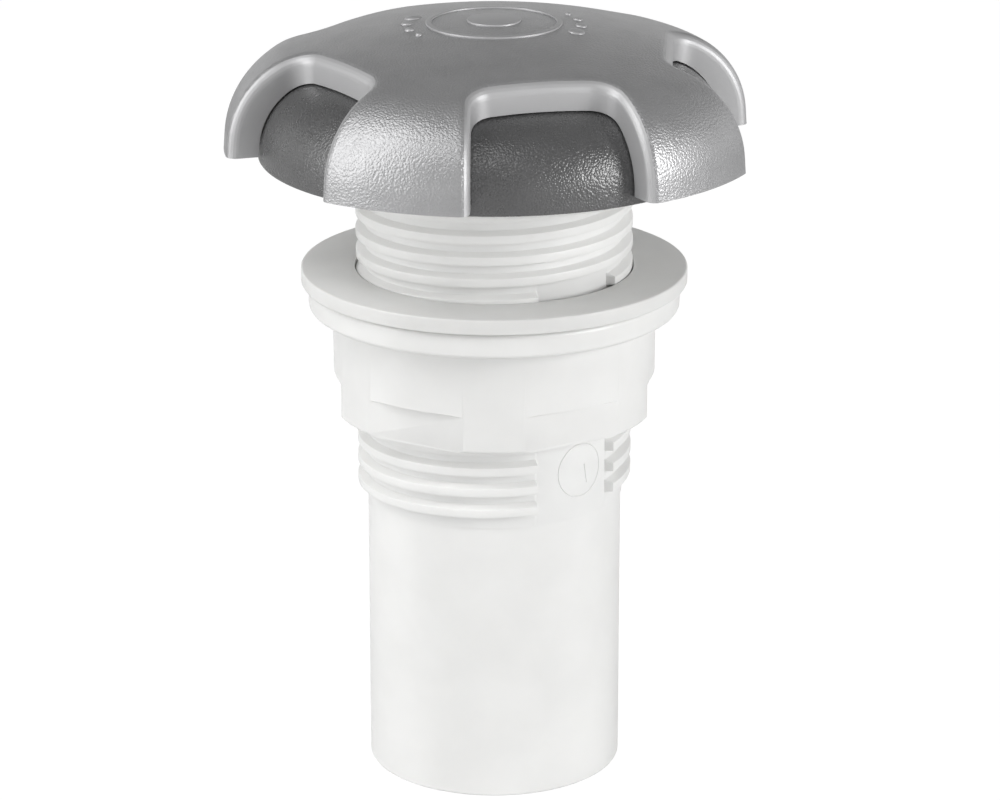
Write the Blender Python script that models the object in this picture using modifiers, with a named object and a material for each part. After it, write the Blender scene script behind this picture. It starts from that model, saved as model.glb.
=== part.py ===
"""Spa air control valve.

A threaded air body hangs in the spa's shell. A gasket and a lock nut clamp it
there. A five-lobed cap turns on its collar and carries a rotor, which opens and
closes two air ports.

Units are metres and +Z is up. The origin is the centre of the tube's lower end.
"""

import math

import bmesh
import bpy
from mathutils import Matrix, Vector

MM = 0.001

# Fits and facets
CONTACT_GAP = 0.3 * MM
RUNNING_GAP = 0.3 * MM
MERGE_DISTANCE = 0.01 * MM
ROUND_STEPS = 24
CAP_STEPS = 36
SMALL_STEPS = 16
SEAL_SECTION_STEPS = 8
DOME_CROWN_STEPS = 2
DOME_SIDE_STEPS = 6
CUT_ARC_STEPS = 4
LEDGE_STEPS = 3
SHARP_ANGLE = math.radians(35)

# Air tube: it slips over a 1 in pipe and into a 1 1/4 in fitting
TUBE_RADIUS = 21.08 * MM
TUBE_LENGTH = 47.6 * MM
TUBE_EDGE = 0.5 * MM
BORE_LEAD = 0.5 * MM
SOCKET_RADIUS = 16.83 * MM
SOCKET_DEPTH = 28.6 * MM
STOP_RADIUS = 14.6 * MM
STOP_HEIGHT = 3.0 * MM
PASSAGE_RADIUS = 17.0 * MM
PASSAGE_TAPER = 4.0 * MM

# Threaded part and its right-hand thread, which the flat-backed window interrupts
THREADED_LENGTH = 55.9 * MM
THREAD_ROOT_RADIUS = 21.3 * MM
THREAD_CREST_RADIUS = 22.75 * MM
THREAD_PITCH = 3.55 * MM
THREAD_CREST_WIDTH = 1.2 * MM
THREAD_LOWER_FLANK = 0.35 * MM
THREAD_UPPER_FLANK = 0.75 * MM
THREAD_START_ANGLE = math.radians(90)
THREAD_START_RISE = 0.53 * MM
THREAD_CLEARANCE = 0.35 * MM
WINDOW_START = math.radians(288.5)
WINDOW_ANGLE = math.radians(40.5)
WINDOW_HEIGHT = 40.1 * MM
WINDOW_RELIEF = 0.08 * MM

# Flange on the spa's shell, the plain neck under it and the ported collar above it
NECK_STEP = 0.1 * MM
NECK_HEIGHT = 1.0 * MM
FLANGE_RADIUS = 34.0 * MM
FLANGE_THICKNESS = 3.0 * MM
FLANGE_EDGE = 0.6 * MM
COLLAR_RADIUS = 22.0 * MM
PORT_COUNT = 2
PORT_ANGLE = math.radians(60)
PORT_SILL = 1.0 * MM
PORT_HEIGHT = 4.3 * MM
SEAL_LAND = 4.7 * MM
CHAMBER_RADIUS = 18.4 * MM
CHAMBER_DEPTH = 28.5 * MM

# Lock nut
NUT_RADIUS = 26.6 * MM
NUT_HEIGHT = 21.4 * MM
NUT_BOTTOM = 62.1 * MM
NUT_EDGE = 0.8 * MM
NUT_FLANGE_RADIUS = 30.57 * MM
NUT_FLANGE_THICKNESS = 4.1 * MM
NUT_FILLET = 0.9 * MM
NUT_LEAD = 1.6 * MM
FLAT_COUNT = 6
FLAT_APOTHEM = 25.1 * MM
FLAT_HEIGHT = 3.9 * MM
FLAT_LEDGE_HEIGHT = 2.7 * MM

# Gasket
GASKET_RADIUS = 31.8 * MM
GASKET_BORE_RADIUS = 23.2 * MM
GASKET_THICKNESS = 2.5 * MM
GASKET_STEPS = 48

# Handle: the dark dome under the cover
HANDLE_RISE = 1.6 * MM
AIR_GAP = 2.3 * MM
HANDLE_SKIRT = 2.3 * MM
HANDLE_SIDE_RADIUS = 11.4 * MM
HANDLE_CROWN_RADIUS = 110.0 * MM
HANDLE_WALL = 2.2 * MM
BEARING_WIDTH = 2.4 * MM
HUB_RADIUS = 9.0 * MM
DRIVE_WIDTH = 10.0 * MM
DRIVE_HEIGHT = 3.2 * MM

# Cover: the light five-lobed shell that clips over the handle
LOBE_COUNT = 5
FIRST_WINDOW = math.radians(284.5)
COVER_RISE = 1.5 * MM
LOBE_OVERHANG = 5.5 * MM
COVER_DRAFT = math.radians(4)
COVER_SKIRT = 2.6 * MM
COVER_SIDE_RADIUS = 15.0 * MM
COVER_CROWN_RADIUS = 120.0 * MM
COVER_WALL = 1.6 * MM
COVER_WINDOW_REACH = 28.8 * MM
COVER_WINDOW_HALF_WIDTH = 11.1 * MM
COVER_WINDOW_FLARE = math.radians(15)
COVER_WINDOW_CORNER = 4.2 * MM
COVER_FILLET = 1.8 * MM
SPIGOT_RADIUS = 13.0 * MM
SPIGOT_WALL = 1.4 * MM
SPIGOT_DEPTH = 0.8 * MM

# Rotor and its two seals
ROTOR_CLEARANCE = 0.5 * MM
ROTOR_WALL = 3.7 * MM
ROTOR_EDGE = 0.4 * MM
ROTOR_HEAD = 3.3 * MM
ROTOR_FLOOR_GAP = 0.6 * MM
SEAL_CORD = 1.8 * MM
SEAL_CLEARANCE = 0.2 * MM
LOWER_SEAL_RISE = 6.4 * MM

# Screw that holds the handle to the rotor
SCREW_HEAD_RADIUS = 3.6 * MM
SCREW_HEAD_HEIGHT = 1.9 * MM
SCREW_HEAD_FLAT_RADIUS = 2.2 * MM
SCREW_SHANK_RADIUS = 1.7 * MM
SCREW_LENGTH = 7.0 * MM
SCREW_POINT = 1.2 * MM
SCREW_HOLE_CLEARANCE = 0.3 * MM
SCREW_RECESS = 0.6 * MM
SLOT_WIDTH = 0.8 * MM
SLOT_DEPTH = 0.9 * MM

# Radii and heights that follow from the sizes above
HANDLE_RIM_RADIUS = FLANGE_RADIUS + AIR_GAP + HANDLE_WALL
COVER_RIM_RADIUS = HANDLE_RIM_RADIUS + LOBE_OVERHANG
NECK_RADIUS = THREAD_CREST_RADIUS + NECK_STEP
FLANGE_BOTTOM = TUBE_LENGTH + THREADED_LENGTH
FLANGE_TOP = FLANGE_BOTTOM + FLANGE_THICKNESS
PORT_BOTTOM = FLANGE_TOP + PORT_SILL
PORT_TOP = PORT_BOTTOM + PORT_HEIGHT
COLLAR_TOP = PORT_TOP + SEAL_LAND
CHAMBER_BOTTOM = COLLAR_TOP - CHAMBER_DEPTH
NUT_TOP = NUT_BOTTOM + NUT_HEIGHT
NUT_FLANGE_BOTTOM = NUT_TOP - NUT_FLANGE_THICKNESS
GASKET_BOTTOM = NUT_TOP + CONTACT_GAP
GASKET_TOP = GASKET_BOTTOM + GASKET_THICKNESS
HANDLE_RIM_HEIGHT = FLANGE_BOTTOM + HANDLE_RISE
COVER_RIM_HEIGHT = HANDLE_RIM_HEIGHT + COVER_RISE
SECTOR = math.tau / LOBE_COUNT


class DomeProfile:
    """Meridian of a dome: a crown arc on the axis, a side arc and a drafted skirt."""

    def __init__(self, rim_radius, rim_height, skirt, draft, side_radius, crown_radius):
        self.rim = (rim_radius, rim_height)
        self.skirt = skirt
        self.draft = draft
        self.side_radius = side_radius
        self.crown_radius = crown_radius
        foot_radius = rim_radius - skirt * math.tan(draft)
        self.side_r = foot_radius - side_radius * math.cos(draft)
        self.side_z = rim_height + skirt - side_radius * math.sin(draft)
        reach = crown_radius - side_radius
        self.crown_z = self.side_z - math.sqrt(reach ** 2 - self.side_r ** 2)
        self.join_angle = math.asin(self.side_r / reach)
        self.crown_length = crown_radius * self.join_angle
        self.side_length = side_radius * (math.pi / 2 - draft - self.join_angle)
        self.length = self.crown_length + self.side_length + skirt / math.cos(draft)

    def inset(self, distance):
        """The same dome, smaller all over by a wall."""
        return DomeProfile(
            self.rim[0] - distance / math.cos(self.draft), self.rim[1], self.skirt, self.draft,
            self.side_radius - distance, self.crown_radius - distance)

    def at(self, distance):
        """Radius and height at a distance along the meridian from the axis."""
        if distance <= self.crown_length:
            angle = distance / self.crown_radius
            return (self.crown_radius * math.sin(angle),
                    self.crown_z + self.crown_radius * math.cos(angle))
        distance -= self.crown_length
        if distance <= self.side_length:
            angle = self.join_angle + distance / self.side_radius
            return (self.side_r + self.side_radius * math.sin(angle),
                    self.side_z + self.side_radius * math.cos(angle))
        drop = distance - self.side_length - self.skirt / math.cos(self.draft)
        return (self.rim[0] + drop * math.sin(self.draft), self.rim[1] - drop * math.cos(self.draft))

    def distance_at(self, radius):
        """Distance along the meridian at which the dome reaches a radius."""
        join_radius = self.crown_radius * math.sin(self.join_angle)
        if radius <= join_radius:
            return self.crown_radius * math.asin(radius / self.crown_radius)
        angle = math.asin(min(1.0, (radius - self.side_r) / self.side_radius))
        return self.crown_length + self.side_radius * (angle - self.join_angle)

    def height_at(self, radius):
        return self.at(self.distance_at(radius))[1]

    def points(self, start_radius, crown_steps, side_steps):
        """Points from a start radius on the crown down to the rim."""
        start = self.distance_at(start_radius)
        stops = [start + (self.crown_length - start) * i / crown_steps for i in range(crown_steps)]
        stops += [self.crown_length + self.side_length * i / side_steps for i in range(side_steps + 1)]
        return [self.at(stop) for stop in stops] + [self.rim]


HANDLE_DOME = DomeProfile(HANDLE_RIM_RADIUS, HANDLE_RIM_HEIGHT, HANDLE_SKIRT, 0.0,
                          HANDLE_SIDE_RADIUS, HANDLE_CROWN_RADIUS)
COVER_DOME = DomeProfile(COVER_RIM_RADIUS, COVER_RIM_HEIGHT, COVER_SKIRT, COVER_DRAFT,
                         COVER_SIDE_RADIUS, COVER_CROWN_RADIUS)


def clear_scene():
    for obj in list(bpy.data.objects):
        bpy.data.objects.remove(obj, do_unlink=True)


def make_collection(name):
    collection = bpy.data.collections.new(name)
    bpy.context.scene.collection.children.link(collection)
    return collection


def make_material(name, color, roughness, metallic=0.0):
    material = bpy.data.materials.new(name)
    material.use_nodes = True
    shader = material.node_tree.nodes["Principled BSDF"]
    shader.inputs["Base Color"].default_value = (*color, 1.0)
    shader.inputs["Roughness"].default_value = roughness
    shader.inputs["Metallic"].default_value = metallic
    return material


def add_object(name, bm, collection):
    mesh = bpy.data.meshes.new(name)
    bm.to_mesh(mesh)
    bm.free()
    obj = bpy.data.objects.new(name, mesh)
    collection.objects.link(obj)
    return obj


def turned(name, profile, steps, collection):
    """Turn a (radius, height) profile about Z. It runs down the outer side, and it is
    closed unless it starts and ends on the axis."""
    bm = bmesh.new()
    verts = [bm.verts.new((radius, 0.0, height)) for radius, height in profile]
    pairs = list(zip(verts, verts[1:]))
    if profile[0][0] > 0.0:
        pairs.append((verts[-1], verts[0]))
    for pair in pairs:
        bm.edges.new(pair)
    obj = add_object(name, bm, collection)
    screw = obj.modifiers.new("turn", "SCREW")
    screw.axis = "Z"
    screw.angle = math.tau
    screw.steps = steps
    screw.render_steps = steps
    screw.use_merge_vertices = True
    screw.merge_threshold = MERGE_DISTANCE
    return obj


def swept(name, section, start_angle, angle, steps, collection):
    """Sweep a closed (radius, height) section part of the way about Z."""
    bm = bmesh.new()
    along = Vector((math.cos(start_angle), math.sin(start_angle), 0.0))
    verts = [bm.verts.new(along * radius + Vector((0.0, 0.0, height))) for radius, height in section]
    face = bm.faces.new(verts)
    bmesh.ops.spin(bm, geom=[*verts, *face.edges, face], cent=(0, 0, 0), axis=(0, 0, 1),
                   angle=angle, steps=steps, use_duplicate=False)
    bmesh.ops.holes_fill(bm, edges=[edge for edge in bm.edges if edge.is_boundary])
    bmesh.ops.recalc_face_normals(bm, faces=bm.faces)
    return add_object(name, bm, collection)


def prism(name, outline, bottom, top, collection):
    """Extrude a closed (x, y) outline from one height to another."""
    bm = bmesh.new()
    face = bm.faces.new([bm.verts.new((x, y, bottom)) for x, y in outline])
    grown = bmesh.ops.extrude_face_region(bm, geom=[face])
    raised = [item for item in grown["geom"] if isinstance(item, bmesh.types.BMVert)]
    bmesh.ops.translate(bm, verts=raised, vec=(0, 0, top - bottom))
    bmesh.ops.recalc_face_normals(bm, faces=bm.faces)
    return add_object(name, bm, collection)


def hexagon(width):
    """Outline of a hexagon by its width across flats."""
    corner = width / 2 / math.cos(math.pi / 6)
    return [(corner * math.cos(k * math.pi / 3), corner * math.sin(k * math.pi / 3)) for k in range(6)]


def combine(obj, tool, operation):
    """Join a tool to an object or cut it out, and keep the tool as a wire guide."""
    tool.hide_render = True
    tool.display_type = "WIRE"
    boolean = obj.modifiers.new(operation.lower(), "BOOLEAN")
    boolean.object = tool
    boolean.operation = operation
    boolean.solver = "EXACT"


def settle(obj, origin, parent, material):
    """Apply the modifiers, put the origin on the piece's own axis and shade it."""
    depsgraph = bpy.context.evaluated_depsgraph_get()
    mesh = bpy.data.meshes.new_from_object(obj.evaluated_get(depsgraph))
    obj.modifiers.clear()
    obj.data = mesh
    mesh.name = obj.name
    mesh.transform(Matrix.Translation(-origin))
    mesh.materials.clear()
    mesh.materials.append(material)
    mesh.shade_smooth()
    mesh.set_sharp_from_angle(angle=SHARP_ANGLE)
    obj.parent = parent
    obj.location = origin - parent.location


def add_axis(name, height, collection):
    """An empty on the Z axis that carries the pieces that move together."""
    axis = bpy.data.objects.new(name, None)
    axis.location = (0.0, 0.0, height)
    axis.empty_display_size = FLANGE_RADIUS
    collection.objects.link(axis)
    return axis


def threaded_rod(name, bottom, top, clearance, collection):
    """A solid rod that carries the thread between two heights. With a clearance it is the
    tap that cuts the mating thread, larger all over."""
    span = THREAD_CREST_RADIUS - THREAD_ROOT_RADIUS
    root_radius = THREAD_ROOT_RADIUS + clearance
    crest_radius = THREAD_CREST_RADIUS + clearance
    lower_rise = THREAD_LOWER_FLANK * (span - clearance) / span
    upper_rise = THREAD_UPPER_FLANK * (span - clearance) / span
    lower_grow = THREAD_LOWER_FLANK * clearance / span
    upper_grow = THREAD_UPPER_FLANK * clearance / span
    section = [(root_radius, -lower_rise - clearance), (crest_radius, lower_grow - clearance),
               (crest_radius, THREAD_CREST_WIDTH - upper_grow + clearance),
               (root_radius, THREAD_CREST_WIDTH + upper_rise + clearance),
               (root_radius, THREAD_PITCH - lower_rise - clearance)]
    first_crest = TUBE_LENGTH + THREAD_START_RISE
    turns_below = math.floor((bottom - first_crest) / THREAD_PITCH) - 1
    start = first_crest + turns_below * THREAD_PITCH
    turns = math.ceil((top - start) / THREAD_PITCH) + 1

    bm = bmesh.new()
    along = Vector((math.cos(THREAD_START_ANGLE), math.sin(THREAD_START_ANGLE), 0.0))
    verts = [bm.verts.new(along * radius + Vector((0.0, 0.0, start + height)))
             for radius, height in section]
    edges = [bm.edges.new(pair) for pair in zip(verts, verts[1:])]
    bmesh.ops.spin(bm, geom=[*verts, *edges], cent=(0, 0, 0), axis=(0, 0, 1),
                   dvec=(0, 0, THREAD_PITCH / ROUND_STEPS), angle=math.tau * turns,
                   steps=ROUND_STEPS * turns, use_duplicate=False)
    bmesh.ops.remove_doubles(bm, verts=bm.verts, dist=MERGE_DISTANCE)
    for height, normal in ((bottom, -1.0), (top, 1.0)):
        bmesh.ops.bisect_plane(bm, geom=[*bm.verts, *bm.edges, *bm.faces], dist=MERGE_DISTANCE / 10,
                               plane_co=(0, 0, height), plane_no=(0, 0, normal), clear_outer=True)
    bmesh.ops.holes_fill(bm, edges=[edge for edge in bm.edges if edge.is_boundary])
    bmesh.ops.recalc_face_normals(bm, faces=bm.faces)
    return add_object(name, bm, collection)


def make_body(parts, tools):
    body = turned("valve_body", [
        (0.0, COLLAR_TOP),
        (COLLAR_RADIUS - TUBE_EDGE, COLLAR_TOP),
        (COLLAR_RADIUS, COLLAR_TOP - TUBE_EDGE),
        (COLLAR_RADIUS, FLANGE_TOP),
        (FLANGE_RADIUS - FLANGE_EDGE, FLANGE_TOP),
        (FLANGE_RADIUS, FLANGE_TOP - FLANGE_EDGE),
        (FLANGE_RADIUS, FLANGE_BOTTOM),
        (NECK_RADIUS, FLANGE_BOTTOM),
        (NECK_RADIUS, FLANGE_BOTTOM - NECK_HEIGHT),
        (TUBE_RADIUS, FLANGE_BOTTOM - NECK_HEIGHT),
        (TUBE_RADIUS, TUBE_EDGE),
        (TUBE_RADIUS - TUBE_EDGE, 0.0),
        (0.0, 0.0),
    ], ROUND_STEPS, parts)

    thread = threaded_rod("thread", TUBE_LENGTH, FLANGE_BOTTOM - NECK_HEIGHT / 2, 0.0, tools)
    window = swept("thread_window", [
        (THREAD_ROOT_RADIUS - WINDOW_RELIEF, TUBE_LENGTH - THREAD_PITCH),
        (THREAD_CREST_RADIUS + THREAD_PITCH, TUBE_LENGTH - THREAD_PITCH),
        (THREAD_CREST_RADIUS + THREAD_PITCH, TUBE_LENGTH + WINDOW_HEIGHT),
        (THREAD_ROOT_RADIUS - WINDOW_RELIEF, TUBE_LENGTH + WINDOW_HEIGHT),
    ], WINDOW_START, WINDOW_ANGLE, CUT_ARC_STEPS, tools)
    combine(thread, window, "DIFFERENCE")
    combine(body, thread, "UNION")

    bore = turned("body_bore", [
        (0.0, COLLAR_TOP + BORE_LEAD),
        (CHAMBER_RADIUS + 2 * BORE_LEAD, COLLAR_TOP + BORE_LEAD),
        (CHAMBER_RADIUS, COLLAR_TOP - BORE_LEAD),
        (CHAMBER_RADIUS, CHAMBER_BOTTOM),
        (PASSAGE_RADIUS, CHAMBER_BOTTOM),
        (PASSAGE_RADIUS, SOCKET_DEPTH + STOP_HEIGHT + PASSAGE_TAPER),
        (STOP_RADIUS, SOCKET_DEPTH + STOP_HEIGHT),
        (STOP_RADIUS, SOCKET_DEPTH),
        (SOCKET_RADIUS, SOCKET_DEPTH),
        (SOCKET_RADIUS, BORE_LEAD),
        (SOCKET_RADIUS + 2 * BORE_LEAD, -BORE_LEAD),
        (0.0, -BORE_LEAD),
    ], ROUND_STEPS, tools)
    combine(body, bore, "DIFFERENCE")

    for index in range(PORT_COUNT):
        middle = index * math.tau / PORT_COUNT
        port = swept("body_port", [
            (CHAMBER_RADIUS - THREAD_PITCH, PORT_BOTTOM),
            (COLLAR_RADIUS + THREAD_PITCH, PORT_BOTTOM),
            (COLLAR_RADIUS + THREAD_PITCH, PORT_TOP),
            (CHAMBER_RADIUS - THREAD_PITCH, PORT_TOP),
        ], middle - PORT_ANGLE / 2, PORT_ANGLE, CUT_ARC_STEPS, tools)
        combine(body, port, "DIFFERENCE")
    return body


def make_nut(parts, tools):
    groove_radius = THREAD_CREST_RADIUS + THREAD_CLEARANCE
    blank_radius = THREAD_ROOT_RADIUS
    ring = turned("lock_nut", [
        (NUT_FLANGE_RADIUS - NUT_EDGE, NUT_TOP),
        (NUT_FLANGE_RADIUS, NUT_TOP - NUT_EDGE),
        (NUT_FLANGE_RADIUS, NUT_FLANGE_BOTTOM + NUT_EDGE),
        (NUT_FLANGE_RADIUS - NUT_EDGE, NUT_FLANGE_BOTTOM),
        (NUT_RADIUS + NUT_FILLET, NUT_FLANGE_BOTTOM),
        (NUT_RADIUS, NUT_FLANGE_BOTTOM - NUT_FILLET),
        (NUT_RADIUS, NUT_BOTTOM + NUT_EDGE),
        (NUT_RADIUS - NUT_EDGE, NUT_BOTTOM),
        (groove_radius + CONTACT_GAP, NUT_BOTTOM),
        (blank_radius, NUT_BOTTOM + NUT_LEAD),
        (blank_radius, NUT_TOP - NUT_LEAD),
        (groove_radius + CONTACT_GAP, NUT_TOP),
    ], ROUND_STEPS, parts)
    tap = threaded_rod("nut_tap", NUT_BOTTOM - NUT_EDGE, NUT_TOP + NUT_EDGE, THREAD_CLEARANCE, tools)
    combine(ring, tap, "DIFFERENCE")

    ledge_top = NUT_BOTTOM + FLAT_HEIGHT + FLAT_LEDGE_HEIGHT
    ledge_depth = NUT_RADIUS - FLAT_APOTHEM
    reach = NUT_RADIUS + NUT_EDGE
    outline = [(FLAT_APOTHEM, NUT_BOTTOM - NUT_EDGE)]
    for index in range(LEDGE_STEPS + 1):
        angle = math.pi / 2 * (1 - index / LEDGE_STEPS)
        outline.append((FLAT_APOTHEM + ledge_depth * math.cos(angle),
                        ledge_top - FLAT_LEDGE_HEIGHT * math.sin(angle)))
    outline += [(reach, ledge_top), (reach, NUT_BOTTOM - NUT_EDGE)]
    for index in range(FLAT_COUNT):
        flat = prism("nut_flat", outline, -NUT_RADIUS / 2, NUT_RADIUS / 2, tools)
        stand_up = Matrix.Rotation(math.pi / 2, 4, "X")
        flat.data.transform(Matrix.Rotation(index * math.tau / FLAT_COUNT, 4, "Z") @ stand_up)
        combine(ring, flat, "DIFFERENCE")
    return ring


def make_gasket(parts):
    return turned("gasket", [
        (GASKET_RADIUS, GASKET_TOP),
        (GASKET_RADIUS, GASKET_BOTTOM),
        (GASKET_BORE_RADIUS, GASKET_BOTTOM),
        (GASKET_BORE_RADIUS, GASKET_TOP),
    ], GASKET_STEPS, parts)


def handle_deck_height():
    """Seat of the screw's head in the top of the handle."""
    return HANDLE_DOME.height_at(0.0) - SCREW_RECESS


def make_handle(parts, tools):
    inner = HANDLE_DOME.inset(HANDLE_WALL)
    hole = SCREW_SHANK_RADIUS + SCREW_HOLE_CLEARANCE
    recess = SCREW_HEAD_RADIUS + SCREW_HOLE_CLEARANCE
    bearing_out = COLLAR_RADIUS - TUBE_EDGE
    bearing_in = bearing_out - BEARING_WIDTH
    bearing_bottom = COLLAR_TOP + CONTACT_GAP
    groove_in = SPIGOT_RADIUS - SPIGOT_WALL - CONTACT_GAP
    groove_out = SPIGOT_RADIUS + CONTACT_GAP
    groove_floor = HANDLE_DOME.height_at(SPIGOT_RADIUS) - SPIGOT_DEPTH - CONTACT_GAP

    profile = [(hole, handle_deck_height()), (recess, handle_deck_height()),
               (recess, HANDLE_DOME.height_at(recess)),
               (groove_in, HANDLE_DOME.height_at(groove_in)), (groove_in, groove_floor),
               (groove_out, groove_floor)]
    profile += HANDLE_DOME.points(groove_out, DOME_CROWN_STEPS, DOME_SIDE_STEPS)
    profile += reversed(inner.points(bearing_out, DOME_CROWN_STEPS, DOME_SIDE_STEPS))
    profile += [(bearing_out, bearing_bottom), (bearing_in, bearing_bottom),
                (bearing_in, inner.height_at(bearing_in)), (HUB_RADIUS, inner.height_at(HUB_RADIUS)),
                (HUB_RADIUS, bearing_bottom), (hole, bearing_bottom)]
    handle = turned("turn_handle", profile, CAP_STEPS, parts)

    socket_top = COLLAR_TOP + DRIVE_HEIGHT + CONTACT_GAP
    socket = prism("drive_socket", hexagon(DRIVE_WIDTH + 2 * CONTACT_GAP),
                   bearing_bottom - DRIVE_HEIGHT, socket_top, tools)
    combine(handle, socket, "DIFFERENCE")
    return handle


class CoverWindow:
    """Plan of one window in the cover: a straight inner side, a round corner and a flared
    side. Distances run from the middle of the inner side out to the rim."""

    def __init__(self):
        flare = COVER_WINDOW_FLARE
        corner = COVER_WINDOW_CORNER
        self.center_u = COVER_WINDOW_REACH + corner
        self.center_v = COVER_WINDOW_HALF_WIDTH - corner * (1 - math.sin(flare)) / math.cos(flare)
        self.corner_angle = math.pi / 2 - flare
        self.corner_length = corner * self.corner_angle
        self.side_start = self.center_v + self.corner_length

    def at(self, distance):
        """Plan point (outward, sideways) at a distance along the half outline."""
        if distance <= self.center_v:
            return COVER_WINDOW_REACH, distance
        if distance <= self.side_start:
            angle = math.pi - (distance - self.center_v) / COVER_WINDOW_CORNER
            return (self.center_u + COVER_WINDOW_CORNER * math.cos(angle),
                    self.center_v + COVER_WINDOW_CORNER * math.sin(angle))
        angle = math.pi - self.corner_angle
        run = distance - self.side_start
        return (self.center_u + COVER_WINDOW_CORNER * math.cos(angle) + run * math.cos(COVER_WINDOW_FLARE),
                self.center_v + COVER_WINDOW_CORNER * math.sin(angle) + run * math.sin(COVER_WINDOW_FLARE))

    def side_distance(self, radius):
        """Distance along the outline at which its flared side reaches a radius."""
        start_u, start_v = self.at(self.side_start)
        slope_u, slope_v = math.cos(COVER_WINDOW_FLARE), math.sin(COVER_WINDOW_FLARE)
        half = start_u * slope_u + start_v * slope_v
        rest = start_u ** 2 + start_v ** 2 - radius ** 2
        return self.side_start - half + math.sqrt(half ** 2 - rest)


def cover_edge_stations(window, chord_steps, corner_steps, side_steps):
    """Where the window's edge lies: (outline distance, meridian distance) pairs."""
    outline = [window.center_v * i / chord_steps for i in range(chord_steps)]
    outline += [window.center_v + window.corner_length * i / corner_steps for i in range(corner_steps)]
    stations = [(run, COVER_DOME.distance_at(math.hypot(*window.at(run)))) for run in outline]
    first = COVER_DOME.distance_at(math.hypot(*window.at(window.side_start)))
    for i in range(side_steps + 1):
        meridian = first + (COVER_DOME.length - first) * i / side_steps
        stations.append((window.side_distance(COVER_DOME.at(meridian)[0]), meridian))
    return stations


def cover_point(meridian, azimuth):
    radius, height = COVER_DOME.at(meridian)
    return Vector((radius * math.cos(azimuth), radius * math.sin(azimuth), height))


def rolled_edge(skin_point, edge_point, wall_point, steps):
    """Points of a round between the skin and a window's wall."""
    weight = math.sqrt(0.5)
    points = []
    for i in range(steps + 1):
        t = i / steps
        a, b, c = (1 - t) ** 2, 2 * t * (1 - t) * weight, t ** 2
        points.append((skin_point * a + edge_point * b + wall_point * c) / (a + b + c))
    return points


def cover_half_sector():
    """Rows of points of half a lobe's skin, from a window's middle to the lobe's middle."""
    window = CoverWindow()
    chord_steps, corner_steps, side_steps = 2, 3, 6
    lobe_steps, crown_steps, fillet_steps = 2, 3, 2
    stations = cover_edge_stations(window, chord_steps, corner_steps, side_steps)
    stand_off = COVER_RIM_RADIUS - HANDLE_RIM_RADIUS + COVER_WALL / 2
    edges, columns = [], []
    for index, (run, meridian) in enumerate(stations):
        u, v = window.at(run)
        radius, height = COVER_DOME.at(meridian)
        azimuth = math.atan2(v, u)
        before = stations[max(index - 1, 0)]
        after = stations[min(index + 1, len(stations) - 1)]
        angle_before = math.atan2(*reversed(window.at(before[0])))
        angle_after = math.atan2(*reversed(window.at(after[0])))
        on_skin = Vector((after[1] - before[1], radius * (angle_after - angle_before))).normalized()
        drop = COVER_DOME.at(after[1])[1] - COVER_DOME.at(before[1])[1]
        on_wall = Vector((after[0] - before[0], drop)).normalized()
        if index == 0:
            on_skin, on_wall = Vector((0.0, 1.0)), Vector((1.0, 0.0))
        if index == len(stations) - 1:
            on_skin, on_wall = Vector((1.0, 0.0)), Vector((0.0, -1.0))
        skin_meridian = meridian - COVER_FILLET * on_skin.y
        skin_azimuth = azimuth + COVER_FILLET * on_skin.x / radius
        skin_point = cover_point(skin_meridian, skin_azimuth)

        def wall_point(depth):
            place = window.at(max(0.0, run + depth * on_wall.y))
            return Vector((place[0], place[1], height - depth * on_wall.x))

        edge_point = Vector((u, v, height))
        edges.append((skin_meridian, skin_azimuth))
        columns.append(rolled_edge(skin_point, edge_point, wall_point(COVER_FILLET), fillet_steps)
                       + [wall_point(stand_off)])
    return edges, columns, chord_steps + corner_steps, lobe_steps, crown_steps


def make_cover_skin(collection):
    """The cover's outer skin with its rolled window edges, as one open surface."""
    edges, columns, corner_index, lobe_steps, crown_steps = cover_half_sector()
    bm = bmesh.new()

    def add_grid(rows):
        for row, next_row in zip(rows, rows[1:]):
            for a, b, c, d in zip(row, row[1:], next_row[1:], next_row):
                bm.faces.new([bm.verts.new(corner) for corner in (a, b, c, d)])

    def lobe_row(meridian, azimuth):
        return [(meridian, azimuth + (SECTOR / 2 - azimuth) * i / lobe_steps)
                for i in range(lobe_steps + 1)]

    add_grid(columns)
    lobe_rows = [lobe_row(*edge) for edge in edges[corner_index:]]
    add_grid([[cover_point(*place) for place in row] for row in lobe_rows])
    crown_edge = edges[:corner_index] + lobe_rows[0]
    crown_rows = []
    for i in range(crown_steps):
        share = 1 - i / crown_steps
        crown_rows.append([cover_point(meridian * share, azimuth) for meridian, azimuth in crown_edge])
    add_grid(crown_rows)
    top = cover_point(0.0, 0.0)
    for a, b in zip(crown_rows[-1], crown_rows[-1][1:]):
        bm.faces.new([bm.verts.new(corner) for corner in (a, b, top)])

    bmesh.ops.mirror(bm, geom=[*bm.verts, *bm.edges, *bm.faces], matrix=Matrix(), axis="Y",
                     merge_dist=MERGE_DISTANCE)
    bmesh.ops.spin(bm, geom=[*bm.verts, *bm.edges, *bm.faces], cent=(0, 0, 0), axis=(0, 0, 1),
                   angle=math.tau - SECTOR, steps=LOBE_COUNT - 1, use_duplicate=True)
    bmesh.ops.rotate(bm, verts=bm.verts, cent=(0, 0, 0), matrix=Matrix.Rotation(FIRST_WINDOW, 3, "Z"))
    bmesh.ops.remove_doubles(bm, verts=bm.verts, dist=MERGE_DISTANCE)
    bmesh.ops.recalc_face_normals(bm, faces=bm.faces)
    return add_object("cap_cover", bm, collection)


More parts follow.
